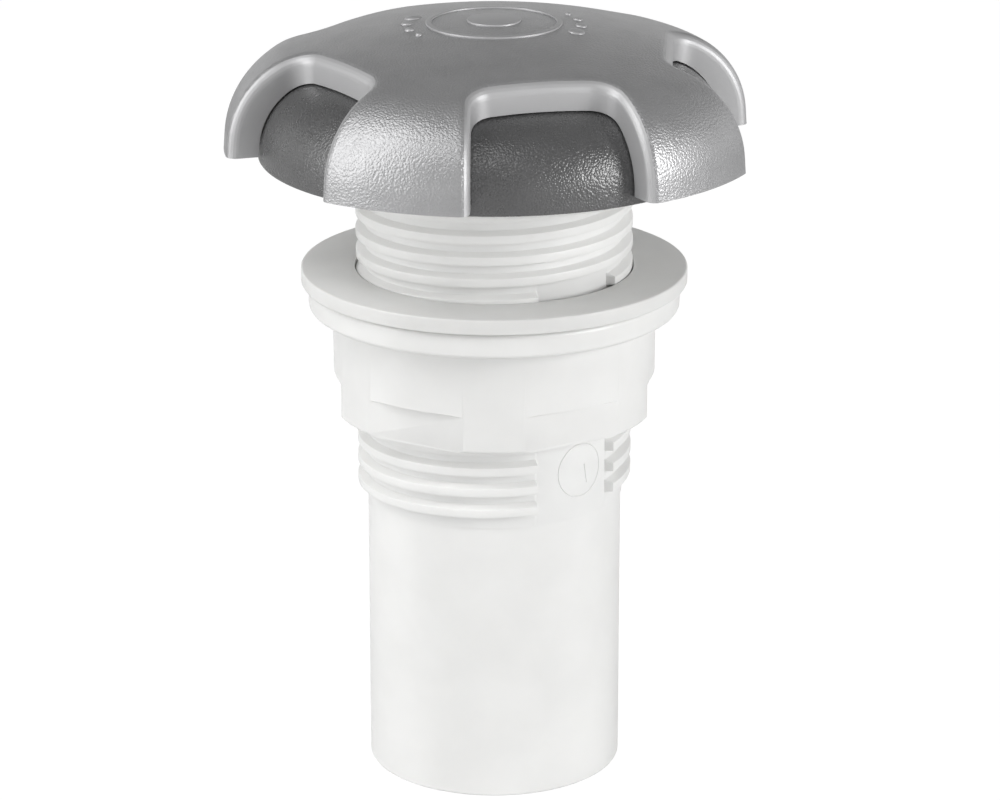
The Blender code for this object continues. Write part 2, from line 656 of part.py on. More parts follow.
def make_cover(parts, tools):
    cover = make_cover_skin(parts)
    shell = cover.modifiers.new("wall", "SOLIDIFY")
    shell.thickness = COVER_WALL
    shell.offset = -1.0
    shell.use_even_offset = True

    spigot_foot = HANDLE_DOME.height_at(SPIGOT_RADIUS) - SPIGOT_DEPTH
    spigot_top = COVER_DOME.height_at(SPIGOT_RADIUS) - COVER_WALL / 2
    spigot = turned("cover_spigot", [
        (SPIGOT_RADIUS, spigot_top),
        (SPIGOT_RADIUS, spigot_foot),
        (SPIGOT_RADIUS - SPIGOT_WALL, spigot_foot),
        (SPIGOT_RADIUS - SPIGOT_WALL, spigot_top),
    ], CAP_STEPS, tools)

    clear = HANDLE_DOME.inset(-CONTACT_GAP)
    foot = HANDLE_RIM_HEIGHT - HANDLE_WALL
    start = SPIGOT_RADIUS + CONTACT_GAP
    trim = turned("handle_clearance", [
        *clear.points(start, DOME_CROWN_STEPS, DOME_SIDE_STEPS),
        (clear.rim[0], foot),
        (start, foot),
    ], CAP_STEPS, tools)
    combine(cover, trim, "DIFFERENCE")
    combine(cover, spigot, "UNION")
    return cover


def make_rotor(parts, tools):
    radius = CHAMBER_RADIUS - ROTOR_CLEARANCE
    bore = radius - ROTOR_WALL
    top = COLLAR_TOP - CONTACT_GAP
    bottom = CHAMBER_BOTTOM + ROTOR_FLOOR_GAP
    profile = [(0.0, top), (radius - ROTOR_EDGE, top), (radius, top - ROTOR_EDGE)]
    for height in seal_heights():
        half_width = SEAL_CORD / 2 + SEAL_CLEARANCE
        floor = seal_center_radius() - SEAL_CORD / 2 - SEAL_CLEARANCE
        profile += [(radius, height + half_width), (floor, height + half_width),
                    (floor, height - half_width), (radius, height - half_width)]
    profile += [(radius, bottom + ROTOR_EDGE), (radius - ROTOR_EDGE, bottom), (bore, bottom),
                (bore, top - ROTOR_HEAD), (0.0, top - ROTOR_HEAD)]
    rotor = turned("air_rotor", profile, ROUND_STEPS, parts)

    post = prism("drive_post", hexagon(DRIVE_WIDTH), top - ROTOR_HEAD / 2, COLLAR_TOP + DRIVE_HEIGHT, tools)
    combine(rotor, post, "UNION")
    pilot_radius = SCREW_SHANK_RADIUS + SEAL_CLEARANCE
    pilot_bottom = screw_tip_height() - SEAL_CLEARANCE
    pilot = turned("pilot_hole", [
        (0.0, COLLAR_TOP + 2 * DRIVE_HEIGHT),
        (pilot_radius, COLLAR_TOP + 2 * DRIVE_HEIGHT),
        (pilot_radius, pilot_bottom),
        (0.0, pilot_bottom),
    ], SMALL_STEPS, tools)
    combine(rotor, pilot, "DIFFERENCE")
    for index in range(PORT_COUNT):
        middle = (index + 0.5) * math.tau / PORT_COUNT
        port = swept("rotor_port", [
            (bore - ROTOR_WALL, PORT_BOTTOM),
            (radius + ROTOR_WALL, PORT_BOTTOM),
            (radius + ROTOR_WALL, PORT_TOP),
            (bore - ROTOR_WALL, PORT_TOP),
        ], middle - PORT_ANGLE / 2, PORT_ANGLE, CUT_ARC_STEPS, tools)
        combine(rotor, port, "DIFFERENCE")
    return rotor


def seal_heights():
    """Middles of the upper and the lower seal."""
    upper = (PORT_TOP + COLLAR_TOP) / 2
    lower = CHAMBER_BOTTOM + LOWER_SEAL_RISE
    return upper, lower


def seal_center_radius():
    return CHAMBER_RADIUS - RUNNING_GAP - SEAL_CORD / 2


def make_seal(name, height, parts):
    bpy.ops.mesh.primitive_torus_add(
        major_radius=seal_center_radius(), minor_radius=SEAL_CORD / 2,
        major_segments=ROUND_STEPS, minor_segments=SEAL_SECTION_STEPS, location=(0.0, 0.0, 0.0))
    seal = bpy.context.object
    seal.name = name
    seal.data.transform(Matrix.Translation((0.0, 0.0, height)))
    for collection in list(seal.users_collection):
        collection.objects.unlink(seal)
    parts.objects.link(seal)
    return seal


def screw_tip_height():
    return handle_deck_height() + CONTACT_GAP - SCREW_LENGTH


def make_screw(parts, tools):
    seat = handle_deck_height() + CONTACT_GAP
    top = seat + SCREW_HEAD_HEIGHT
    screw = turned("handle_screw", [
        (0.0, top),
        (SCREW_HEAD_FLAT_RADIUS, top),
        (SCREW_HEAD_RADIUS, top - SCREW_HEAD_HEIGHT / 2),
        (SCREW_HEAD_RADIUS, seat),
        (SCREW_SHANK_RADIUS, seat),
        (SCREW_SHANK_RADIUS, screw_tip_height() + SCREW_POINT),
        (0.0, screw_tip_height()),
    ], SMALL_STEPS, parts)
    half_length = SCREW_HEAD_RADIUS / 2
    arm = SLOT_WIDTH / 2
    cross = [(half_length, -arm), (half_length, arm), (arm, arm), (arm, half_length),
             (-arm, half_length), (-arm, arm), (-half_length, arm), (-half_length, -arm),
             (-arm, -arm), (-arm, -half_length), (arm, -half_length), (arm, -arm)]
    slot = prism("screw_slot", cross, top - SLOT_DEPTH, top + SLOT_DEPTH, tools)
    combine(screw, slot, "DIFFERENCE")
    return screw


def build():
    clear_scene()
    parts = make_collection("spa_air_control_valve")
    tools = make_collection("cutters")
    white = make_material("white_plastic", (0.80, 0.80, 0.79), 0.35)
    nut_white = make_material("nut_plastic", (0.78, 0.78, 0.77), 0.38)
    silicone = make_material("gasket_rubber", (0.62, 0.62, 0.61), 0.45)
    dark = make_material("dark_grey_plastic", (0.10, 0.10, 0.10), 0.42)
    silver = make_material("silver_plastic", (0.36, 0.36, 0.37), 0.36, 0.55)
    rotor_white = make_material("rotor_plastic", (0.72, 0.72, 0.71), 0.40)
    rubber = make_material("seal_rubber", (0.03, 0.03, 0.03), 0.60)
    steel = make_material("screw_steel", (0.55, 0.55, 0.55), 0.30, 1.0)

    body_axis = add_axis("body_axis", 0.0, parts)
    nut_axis = add_axis("nut_axis", NUT_BOTTOM, parts)
    cap_axis = add_axis("cap_axis", COLLAR_TOP, parts)
    for axis in (nut_axis, cap_axis):
        axis.parent = body_axis

    foot = Vector((0.0, 0.0, 0.0))
    nut_foot = Vector((0.0, 0.0, NUT_BOTTOM))
    cap_foot = Vector((0.0, 0.0, COLLAR_TOP))
    upper_height, lower_height = seal_heights()
    pieces = [
        (make_body(parts, tools), foot, body_axis, white),
        (make_nut(parts, tools), nut_foot, nut_axis, nut_white),
        (make_gasket(parts), nut_foot, nut_axis, silicone),
        (make_handle(parts, tools), cap_foot, cap_axis, dark),
        (make_cover(parts, tools), cap_foot, cap_axis, silver),
        (make_rotor(parts, tools), cap_foot, cap_axis, rotor_white),
        (make_seal("upper_o_ring", upper_height, parts), cap_foot, cap_axis, rubber),
        (make_seal("lower_o_ring", lower_height, parts), cap_foot, cap_axis, rubber),
        (make_screw(parts, tools), cap_foot, cap_axis, steel),
    ]
    for piece, origin, axis, material in pieces:
        settle(piece, origin, axis, material)


build()
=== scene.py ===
import math

import bmesh
import bpy
from mathutils import Matrix, Vector


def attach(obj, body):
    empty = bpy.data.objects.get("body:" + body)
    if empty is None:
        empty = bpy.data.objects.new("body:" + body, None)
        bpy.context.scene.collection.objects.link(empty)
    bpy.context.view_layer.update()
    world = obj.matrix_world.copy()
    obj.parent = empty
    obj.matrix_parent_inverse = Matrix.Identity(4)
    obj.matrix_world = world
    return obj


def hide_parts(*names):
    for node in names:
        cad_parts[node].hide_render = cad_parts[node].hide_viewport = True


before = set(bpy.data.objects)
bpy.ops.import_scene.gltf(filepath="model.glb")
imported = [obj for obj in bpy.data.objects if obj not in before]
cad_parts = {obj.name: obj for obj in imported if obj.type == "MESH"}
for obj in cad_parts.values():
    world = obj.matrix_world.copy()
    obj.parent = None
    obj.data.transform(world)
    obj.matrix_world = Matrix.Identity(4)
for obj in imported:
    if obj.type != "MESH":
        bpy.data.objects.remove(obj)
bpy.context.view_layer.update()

MM = 0.001

# Mesh fineness
TURN_STEPS = 192
ARC_STEPS = 4
THREAD_STEPS = 144
TAP_STEPS = 96
THREAD_ARC_STEPS = 2
CORD_SIDES = 8
MARK_STEPS = 64
TICK_STEPS = 8
HANDLE_OUTER_STEPS = 40
HANDLE_INNER_STEPS = 30
CHORD_STEPS = 10
CORNER_STEPS = 12
SIDE_STEPS = 24
LOBE_STEPS = 14
CROWN_STEPS = 14
FILLET_STEPS = 6
GRAIN_STEPS = 2
WALL_STEPS = 3
RIM_SEGMENTS = 3
SPIGOT_STEPS = 96
TRIM_STEPS = 150
TRIM_MERIDIAN_STEPS = 48
TOP_MARK_STEPS = 48
DOT_STEPS = 8
RING_ARC_STEPS = 3
CUT_MARGIN = 1.0 * MM
WIDE_MARGIN = 3.0 * MM
MERGE_DISTANCE = 0.002 * MM
SHARP_ANGLE = math.radians(38)

# Body: the sizes are the CAD part's, but the neck is 0.07 mm narrower so that the gasket,
# whose bore is tighter here than in the CAD, passes it
TUBE_RADIUS = 21.08 * MM
TUBE_LENGTH = 47.6 * MM
BORE_LEAD = 0.5 * MM
SOCKET_RADIUS = 16.83 * MM
SOCKET_DEPTH = 28.6 * MM
STOP_RADIUS = 14.6 * MM
STOP_TOP = 31.6 * MM
TAPER_TOP = 35.6 * MM
PASSAGE_RADIUS = 17.0 * MM
CHAMBER_BOTTOM = 88.0 * MM
CHAMBER_RADIUS = 18.4 * MM
NECK_RADIUS = 22.78 * MM
NECK_BOTTOM = 102.5 * MM
FLANGE_RADIUS = 34.0 * MM
FLANGE_BOTTOM = 103.5 * MM
FLANGE_TOP = 106.5 * MM
COLLAR_RADIUS = 22.0 * MM
COLLAR_TOP = 116.5 * MM
PORT_BOTTOM = 107.5 * MM
PORT_TOP = 111.8 * MM
PORT_ANGLE = math.radians(60)
PORT_STEPS = 24

# Thread: crests and flanks are fitted to the photo, and its lowest turn starts with a ramp
# at the back, where the CAD's runs out at the tube's shoulder
THREAD_ROOT = 21.3 * MM
THREAD_CREST = 22.75 * MM
THREAD_PITCH = 3.55 * MM
CREST_WIDTH = 1.42 * MM
LOWER_FLANK = 0.25 * MM
UPPER_FLANK = 0.5 * MM
THREAD_FILLET = 0.14 * MM
START_ANGLE = 90.0
START_RISE = 0.53 * MM
START_RAMP = 14.0
THREAD_CLEARANCE = 0.35 * MM
HIDDEN_RADIUS = 20.4 * MM
WINDOW_START = 288.5
WINDOW_END = 329.0
WINDOW_TOP = 88.1 * MM
WINDOW_RELIEF = 0.08 * MM
WINDOW_FADE = 0.45
WINDOW_SHARES = (-1.3, -1.0, -0.5, 0.0, 0.5, 1.0, 1.3)

# Mould marks in the thread's window
MARK_AZIMUTH = math.radians(311.7)
MARK_HEIGHT = 55.8 * MM
MARK_RADIUS = 4.5 * MM
MARK_CORD = 0.12 * MM
TICK_LENGTH = 3.4 * MM
TICK_OFFSET = 1.1 * MM
TICK_DROP = 0.8 * MM
TICK_LEAN = math.radians(10)

# Lock nut
NUT_BOTTOM = 62.1 * MM
NUT_TOP = 83.5 * MM
NUT_RADIUS = 26.6 * MM
NUT_FLANGE_RADIUS = 30.57 * MM
NUT_FLANGE_BOTTOM = 79.4 * MM
NUT_LEAD = 1.6 * MM
NUT_MOUTH_GAP = 0.3 * MM
FLAT_COUNT = 6
FLAT_APOTHEM = 25.1 * MM
FLAT_TOP = 68.0 * MM
FLAT_LEDGE = 0.6 * MM
FLAT_STEPS = 6

# Gasket
GASKET_RADIUS = 31.8 * MM
GASKET_BORE = 22.9 * MM
GASKET_BOTTOM = 83.8 * MM
GASKET_TOP = 86.3 * MM

# Handle dome
CONTACT_GAP = 0.3 * MM
HANDLE_RIM_RADIUS = 38.5 * MM
HANDLE_RIM_HEIGHT = 105.1 * MM
HANDLE_SKIRT = 2.3 * MM
HANDLE_SIDE_RADIUS = 11.4 * MM
HANDLE_CROWN_RADIUS = 110.0 * MM
HANDLE_WALL = 2.2 * MM
BEARING_OUT = 21.5 * MM
BEARING_IN = 19.1 * MM
HUB_RADIUS = 9.0 * MM
DRIVE_WIDTH = 10.6 * MM
DRIVE_TOP = 120.0 * MM
SCREW_HOLE = 2.0 * MM
SCREW_RECESS_RADIUS = 3.9 * MM
SCREW_RECESS = 0.6 * MM
SPIGOT_RADIUS = 13.0 * MM
SPIGOT_WALL = 1.4 * MM
SPIGOT_DEPTH = 0.8 * MM

# Cover
LOBE_COUNT = 5
SECTOR = math.tau / LOBE_COUNT
FIRST_WINDOW = math.radians(284.5)
COVER_RIM_RADIUS = 44.0 * MM
COVER_RIM_HEIGHT = 106.6 * MM
COVER_SKIRT = 2.6 * MM
COVER_DRAFT = math.radians(4)
COVER_SIDE_RADIUS = 15.0 * MM
COVER_CROWN_RADIUS = 120.0 * MM
COVER_WALL = 1.6 * MM
WINDOW_REACH = 28.8 * MM
WINDOW_HALF_WIDTH = 11.1 * MM
WINDOW_FLARE = math.radians(15)
WINDOW_CORNER = 4.2 * MM
COVER_FILLET = 1.8 * MM
RIM_ROUND = 0.45 * MM

# Marks on the cover's top: the dots grow the way the valve opens
DOT_CIRCLE = 14.1 * MM
DOT_RADII = (1.4 * MM, 1.0 * MM, 0.8 * MM, 0.5 * MM)
DOT_AZIMUTHS = (160.0, 177.0, 195.0, 211.0)
DOT_RELIEF = 0.45 * MM
RING_RADIUS = 10.6 * MM
RING_WIDTH = 0.9 * MM
DISC_RADIUS = 4.4 * MM
MARK_RELIEF = 0.28 * MM
MARK_SINK = 0.2 * MM
MARK_ROUND = 0.12 * MM

# Materials: noise scales are per metre
RAMP_LOW = 0.35
RAMP_HIGH = 0.65
CLOUD_SCALE = 90.0
GLOSS_SCALE = 260.0
PEEL_SCALE = 1400.0
PEEL_DEPTH = 0.02 * MM
SUBSURFACE_REACH = 1.2 * MM
SPECKLE_SCALE = 150.0
GRAIN_GLOSS_SCALE = 500.0
GRAIN_CELL = 0.36 * MM
GRAIN_WARP = 0.5
SILVER_METALLIC = 0.55
DOME_SPECULAR = 0.8

# Studio
FLOOR_RADIUS = 3.0
FLOOR_GLOW = 1.06
FLOOR_GLOW_SHARE = 0.92
SKY_START = 0.26
SKY_END = 0.40
SKY_GREY = 0.16
SKY_STRENGTH = 0.86
LIGHT_TARGET = Vector((0.0, 0.0, 0.07))
CAMERA_PLACE = (0.00095, -0.6438, 0.2783)
CAMERA_PITCH = 18.53
CAMERA_LENS = 146.88
CAMERA_SENSOR = 36.0


class Dome:
    """Meridian of a dome: a crown arc on the axis, a side arc and a drafted skirt."""

    def __init__(self, rim_radius, rim_height, skirt, draft, side_radius, crown_radius):
        self.rim = (rim_radius, rim_height)
        self.skirt = skirt
        self.draft = draft
        self.side_radius = side_radius
        self.crown_radius = crown_radius
        foot_radius = rim_radius - skirt * math.tan(draft)
        self.side_r = foot_radius - side_radius * math.cos(draft)
        self.side_z = rim_height + skirt - side_radius * math.sin(draft)
        reach = crown_radius - side_radius
        self.crown_z = self.side_z - math.sqrt(reach ** 2 - self.side_r ** 2)
        self.join_angle = math.asin(self.side_r / reach)
        self.crown_length = crown_radius * self.join_angle
        self.side_length = side_radius * (math.pi / 2 - draft - self.join_angle)
        self.length = self.crown_length + self.side_length + skirt / math.cos(draft)

    def inset(self, distance):
        return Dome(self.rim[0] - distance / math.cos(self.draft), self.rim[1], self.skirt,
                    self.draft, self.side_radius - distance, self.crown_radius - distance)

    def at(self, distance):
        """Radius and height at a distance along the meridian from the axis."""
        if distance <= self.crown_length:
            angle = distance / self.crown_radius
            return (self.crown_radius * math.sin(angle),
                    self.crown_z + self.crown_radius * math.cos(angle))
        distance -= self.crown_length
        if distance <= self.side_length:
            angle = self.join_angle + distance / self.side_radius
            return (self.side_r + self.side_radius * math.sin(angle),
                    self.side_z + self.side_radius * math.cos(angle))
        drop = distance - self.side_length - self.skirt / math.cos(self.draft)
        return (self.rim[0] + drop * math.sin(self.draft),
                self.rim[1] - drop * math.cos(self.draft))

    def distance_at(self, radius):
        if radius <= self.crown_radius * math.sin(self.join_angle):
            return self.crown_radius * math.asin(radius / self.crown_radius)
        angle = math.asin(min(1.0, (radius - self.side_r) / self.side_radius))
        return self.crown_length + self.side_radius * (angle - self.join_angle)

    def height_at(self, radius):
        return self.at(self.distance_at(radius))[1]

    def points(self, start_radius, steps):
        """Evenly spaced points from a start radius down to the skirt, without the rim."""
        start = self.distance_at(start_radius)
        end = self.crown_length + self.side_length
        return [self.at(start + (end - start) * i / steps) for i in range(steps + 1)]


HANDLE_DOME = Dome(HANDLE_RIM_RADIUS, HANDLE_RIM_HEIGHT, HANDLE_SKIRT, 0.0,
                   HANDLE_SIDE_RADIUS, HANDLE_CROWN_RADIUS)
COVER_DOME = Dome(COVER_RIM_RADIUS, COVER_RIM_HEIGHT, COVER_SKIRT, COVER_DRAFT,
                  COVER_SIDE_RADIUS, COVER_CROWN_RADIUS)


# Mesh helpers

def make_object(name, bm):
    mesh = bpy.data.meshes.new(name)
    bm.to_mesh(mesh)
    bm.free()
    obj = bpy.data.objects.new(name, mesh)
    bpy.context.scene.collection.objects.link(obj)
    return obj


def rounded(corners, closed=True, steps=ARC_STEPS):
    """Polyline through (radius, height, fillet) corners, each rounded by its fillet."""
    points = []
    last = len(corners) - 1
    for index, (radius, height, fillet) in enumerate(corners):
        if not fillet or (not closed and index in (0, last)):
            points.append((radius, height))
            continue
        here = Vector((radius, height))
        back = (Vector(corners[index - 1][:2]) - here).normalized()
        ahead = (Vector(corners[(index + 1) % len(corners)][:2]) - here).normalized()
        half = back.angle(ahead) / 2
        centre = here + (back + ahead).normalized() * fillet / math.sin(half)
        start = here + back * fillet / math.tan(half) - centre
        end = here + ahead * fillet / math.tan(half) - centre
        sweep = start.angle(end)
        for i in range(steps + 1):
            t = i / steps
            turned = start * math.sin((1 - t) * sweep) + end * math.sin(t * sweep)
            point = centre + turned / math.sin(sweep)
            points.append((point.x, point.y))
    return points


def lathe(name, profile, steps=TURN_STEPS, closed=True):
    bm = bmesh.new()
    verts = [bm.verts.new((radius, 0.0, height)) for radius, height in profile]
    edges = [bm.edges.new(pair) for pair in zip(verts, verts[1:])]
    if closed:
        edges.append(bm.edges.new((verts[-1], verts[0])))
    bmesh.ops.spin(bm, geom=[*verts, *edges], cent=(0, 0, 0), axis=(0, 0, 1), angle=math.tau,
                   steps=steps, use_duplicate=False)
    bmesh.ops.remove_doubles(bm, verts=bm.verts, dist=MERGE_DISTANCE)
    bmesh.ops.recalc_face_normals(bm, faces=bm.faces)
    return make_object(name, bm)


def sweep_about_axis(name, section, start, angle, steps):
    bm = bmesh.new()
    along = Vector((math.cos(start), math.sin(start), 0.0))
    verts = [bm.verts.new(along * radius + Vector((0, 0, height))) for radius, height in section]
    face = bm.faces.new(verts)
    bmesh.ops.spin(bm, geom=[*verts, *face.edges, face], cent=(0, 0, 0), axis=(0, 0, 1),
                   angle=angle, steps=steps, use_duplicate=False)
    bmesh.ops.holes_fill(bm, edges=[edge for edge in bm.edges if edge.is_boundary])
    bmesh.ops.recalc_face_normals(bm, faces=bm.faces)
    return make_object(name, bm)


def prism(name, outline, bottom, top):
    bm = bmesh.new()
    face = bm.faces.new([bm.verts.new((x, y, bottom)) for x, y in outline])
    grown = bmesh.ops.extrude_face_region(bm, geom=[face])
    raised = [item for item in grown["geom"] if isinstance(item, bmesh.types.BMVert)]
    bmesh.ops.translate(bm, verts=raised, vec=(0, 0, top - bottom))
    bmesh.ops.recalc_face_normals(bm, faces=bm.faces)
    return make_object(name, bm)


def apply_modifiers(obj):
    depsgraph = bpy.context.evaluated_depsgraph_get()
    mesh = bpy.data.meshes.new_from_object(obj.evaluated_get(depsgraph))
    obj.modifiers.clear()
    old = obj.data
    obj.data = mesh
    bpy.data.meshes.remove(old)


def cut(obj, tools, operation="DIFFERENCE"):
    for tool in tools:
        boolean = obj.modifiers.new("boolean", "BOOLEAN")
        boolean.object = tool
        boolean.operation = operation
        boolean.solver = "EXACT"
    apply_modifiers(obj)
    for tool in tools:
        bpy.data.objects.remove(tool, do_unlink=True)


def join(target, others):
    """Add the meshes of other objects to a target's own."""
    bm = bmesh.new()
    bm.from_mesh(target.data)
    for other in others:
        bm.from_mesh(other.data)
        bpy.data.objects.remove(other, do_unlink=True)
    bm.to_mesh(target.data)
    bm.free()


def finish_piece(obj, body, slot, nodes, *materials):
    for material in materials[len(obj.data.materials):]:
        obj.data.materials.append(material)
    obj.data.shade_smooth()
    obj.data.set_sharp_from_angle(angle=SHARP_ANGLE)
    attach(obj, body)
    if nodes:
        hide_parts(*nodes)


# Materials

class Nodes:
    """A material's node tree with its principled shader."""

    def __init__(self, name, roughness, metallic=0.0):
        self.material = bpy.data.materials.new(name)
        self.material.use_nodes = True
        self.tree = self.material.node_tree
        self.shader = self.tree.nodes["Principled BSDF"]
        self.shader.inputs["Roughness"].default_value = roughness
        self.shader.inputs["Metallic"].default_value = metallic
        self.place = self.add("ShaderNodeTexCoord").outputs["Object"]

    def add(self, kind, **values):
        node = self.tree.nodes.new(kind)
        for key, value in values.items():
            if key in node.inputs:
                node.inputs[key].default_value = value
            else:
                setattr(node, key, value)
        return node

    def link(self, output, node, socket):
        self.tree.links.new(output, node.inputs[socket])

    def noise(self, scale, detail=3.0):
        node = self.add("ShaderNodeTexNoise", Scale=scale, Detail=detail, Roughness=0.5)
        self.link(self.place, node, "Vector")
        return node.outputs["Fac"]

    def color(self, factor, dark, light):
        ramp = self.add("ShaderNodeValToRGB")
        ramp.color_ramp.elements[0].position = RAMP_LOW
        ramp.color_ramp.elements[1].position = RAMP_HIGH
        ramp.color_ramp.elements[0].color = (*dark, 1.0)
        ramp.color_ramp.elements[1].color = (*light, 1.0)
        self.link(factor, ramp, "Fac")
        self.link(ramp.outputs["Color"], self.shader, "Base Color")

    def roughness(self, factor, low, high):
        node = self.add("ShaderNodeMapRange")
        node.inputs["To Min"].default_value = low
        node.inputs["To Max"].default_value = high
        self.link(factor, node, "Value")
        self.link(node.outputs["Result"], self.shader, "Roughness")

    def bump(self, height, distance, strength, invert=False):
        node = self.add("ShaderNodeBump", Strength=strength, Distance=distance, invert=invert)
        self.link(height, node, "Height")
        self.link(node.outputs["Normal"], self.shader, "Normal")


def moulded_plastic(name, color, roughness, texture=0.02, subsurface=0.0, peel=0.25):
    """Plain moulded plastic: slight clouding of its tone and gloss, and a faint orange peel."""
    nodes = Nodes(name, roughness)
    light = tuple(min(1.0, value * (1 + texture)) for value in color)
    dark = tuple(value * (1 - texture) for value in color)
    nodes.color(nodes.noise(CLOUD_SCALE), dark, light)
    nodes.roughness(nodes.noise(GLOSS_SCALE), roughness - 0.05, roughness + 0.06)
    nodes.bump(nodes.noise(PEEL_SCALE, 2.0), PEEL_DEPTH, peel)
    if subsurface:
        nodes.shader.inputs["Subsurface Weight"].default_value = subsurface
        nodes.shader.inputs["Subsurface Radius"].default_value = (1.0, 0.95, 0.9)
        nodes.shader.inputs["Subsurface Scale"].default_value = SUBSURFACE_REACH
    return nodes.material


def grained_plastic(name, dark, light, roughness, metallic, depth):
    """Textured plastic: a pebble grain with a fine speckle."""
    nodes = Nodes(name, roughness, metallic)
    cells = nodes.add("ShaderNodeTexVoronoi", feature="SMOOTH_F1", Scale=1.0 / GRAIN_CELL,
                      Smoothness=0.6)
    warp = nodes.add("ShaderNodeTexNoise", Scale=0.6 / GRAIN_CELL, Detail=2.0)
    nodes.link(nodes.place, warp, "Vector")
    shift = nodes.add("ShaderNodeVectorMath", operation="SCALE")
    shift.inputs["Scale"].default_value = GRAIN_CELL * GRAIN_WARP
    nodes.link(warp.outputs["Color"], shift, "Vector")
    place = nodes.add("ShaderNodeVectorMath", operation="ADD")
    nodes.tree.links.new(nodes.place, place.inputs[0])
    nodes.tree.links.new(shift.outputs["Vector"], place.inputs[1])
    nodes.link(place.outputs["Vector"], cells, "Vector")
    nodes.color(nodes.noise(SPECKLE_SCALE, 2.0), dark, light)
    nodes.roughness(nodes.noise(GRAIN_GLOSS_SCALE), roughness - 0.03, roughness + 0.05)
    nodes.bump(cells.outputs["Distance"], depth, 1.0, invert=True)
    return nodes.material


WHITE = moulded_plastic("white_moulded", (0.75, 0.75, 0.74), 0.33, subsurface=0.10)
NUT_WHITE = moulded_plastic("nut_moulded", (0.725, 0.725, 0.715), 0.36, subsurface=0.10)
GASKET = moulded_plastic("gasket_silicone", (0.67, 0.67, 0.66), 0.42, subsurface=0.35)
ROTOR = moulded_plastic("rotor_moulded", (0.72, 0.72, 0.71), 0.40)
RUBBER = moulded_plastic("seal_black", (0.03, 0.03, 0.03), 0.55, texture=0.15)
STEEL = Nodes("screw_metal", 0.3, 1.0)
STEEL.color(STEEL.noise(700.0), (0.48, 0.48, 0.48), (0.60, 0.60, 0.60))
DOME_GREY = grained_plastic("dome_grained", (0.072, 0.072, 0.073), (0.082, 0.082, 0.083),
                            0.27, 0.0, 0.09 * MM)
SILVER_GRAIN = grained_plastic("cover_grained", (0.35, 0.35, 0.355), (0.38, 0.38, 0.385),
                               0.37, SILVER_METALLIC, 0.07 * MM)
SILVER_SMOOTH = moulded_plastic("cover_smooth", (0.44, 0.44, 0.445), 0.50, texture=0.01,
                                peel=0.03)
for material, socket, value in ((DOME_GREY, "Specular IOR Level", DOME_SPECULAR),
                                (SILVER_SMOOTH, "Metallic", SILVER_METALLIC)):
    material.node_tree.nodes["Principled BSDF"].inputs[socket].default_value = value


# Body and thread

def thread_section(clearance, fillet):
    """One pitch of the thread's profile, as (radius, height) points up the flank."""
    span = THREAD_CREST - THREAD_ROOT
    root, crest = THREAD_ROOT + clearance, THREAD_CREST + clearance
    share = clearance / span
    low_root = -LOWER_FLANK * (1 - share) - clearance
    low_crest = LOWER_FLANK * share - clearance
    high_crest = CREST_WIDTH - UPPER_FLANK * share + clearance
    high_root = CREST_WIDTH + UPPER_FLANK * (1 - share) + clearance
    corners = [(root, high_root - THREAD_PITCH, 0), (root, low_root, fillet),
               (crest, low_crest, fillet), (crest, high_crest, fillet),
               (root, high_root, fillet), (root, low_root + THREAD_PITCH, 0)]
    return rounded(corners, closed=False, steps=THREAD_ARC_STEPS)[1:-1]


def window_depth(azimuth):
    """How far the thread stands at an azimuth: 1 outside its window, 0 in it."""
    into = min(azimuth - WINDOW_START, WINDOW_END - azimuth)
    return min(1.0, max(0.0, 0.5 - into / (2 * WINDOW_FADE)))


def thread_sheet(bottom, top, clearance, azimuths, with_window):
    """The thread's surface between two heights. The body's own starts with a ramp and fades
    into its flat window; the nut's tap does neither."""
    section = thread_section(clearance, THREAD_FILLET)
    first = TUBE_LENGTH + START_RISE
    lowest = math.floor((bottom - first) / THREAD_PITCH) - 2
    highest = math.ceil((top - first) / THREAD_PITCH) + 3
    floor_radius = THREAD_ROOT - WINDOW_RELIEF
    bm = bmesh.new()
    grid = []
    for turn in range(lowest, highest):
        for azimuth in azimuths:
            rise = first + THREAD_PITCH * (turn + (azimuth - START_ANGLE) / 360.0)
            angle = math.radians(azimuth)
            started = min(1.0, max(0.0, (360.0 * turn + azimuth - START_ANGLE) / START_RAMP))
            row = []
            for radius, height in section:
                z = rise + height
                if with_window:
                    radius = THREAD_ROOT + (radius - THREAD_ROOT) * started
                    if z < WINDOW_TOP:
                        radius = floor_radius + (radius - floor_radius) * window_depth(azimuth)
                row.append(bm.verts.new((radius * math.cos(angle), radius * math.sin(angle), z)))
            grid.append(row)
    per_turn = len(azimuths)
    for station in range(len(grid) - per_turn - 1):
        here, ahead = grid[station], grid[station + 1]
        here = here + [grid[station + per_turn][0]]
        ahead = ahead + [grid[station + per_turn + 1][0]]
        for a, b, c, d in zip(here, ahead, ahead[1:], here[1:]):
            bm.faces.new((a, b, c, d))
    for height, normal in ((bottom, -1.0), (top, 1.0)):
        bmesh.ops.bisect_plane(bm, geom=[*bm.verts, *bm.edges, *bm.faces], dist=MERGE_DISTANCE / 10,
                               plane_co=(0, 0, height), plane_no=(0, 0, normal), clear_outer=True)
    loose = [vert for vert in bm.verts if not vert.link_faces]
    bmesh.ops.delete(bm, geom=loose, context="VERTS")
    return bm


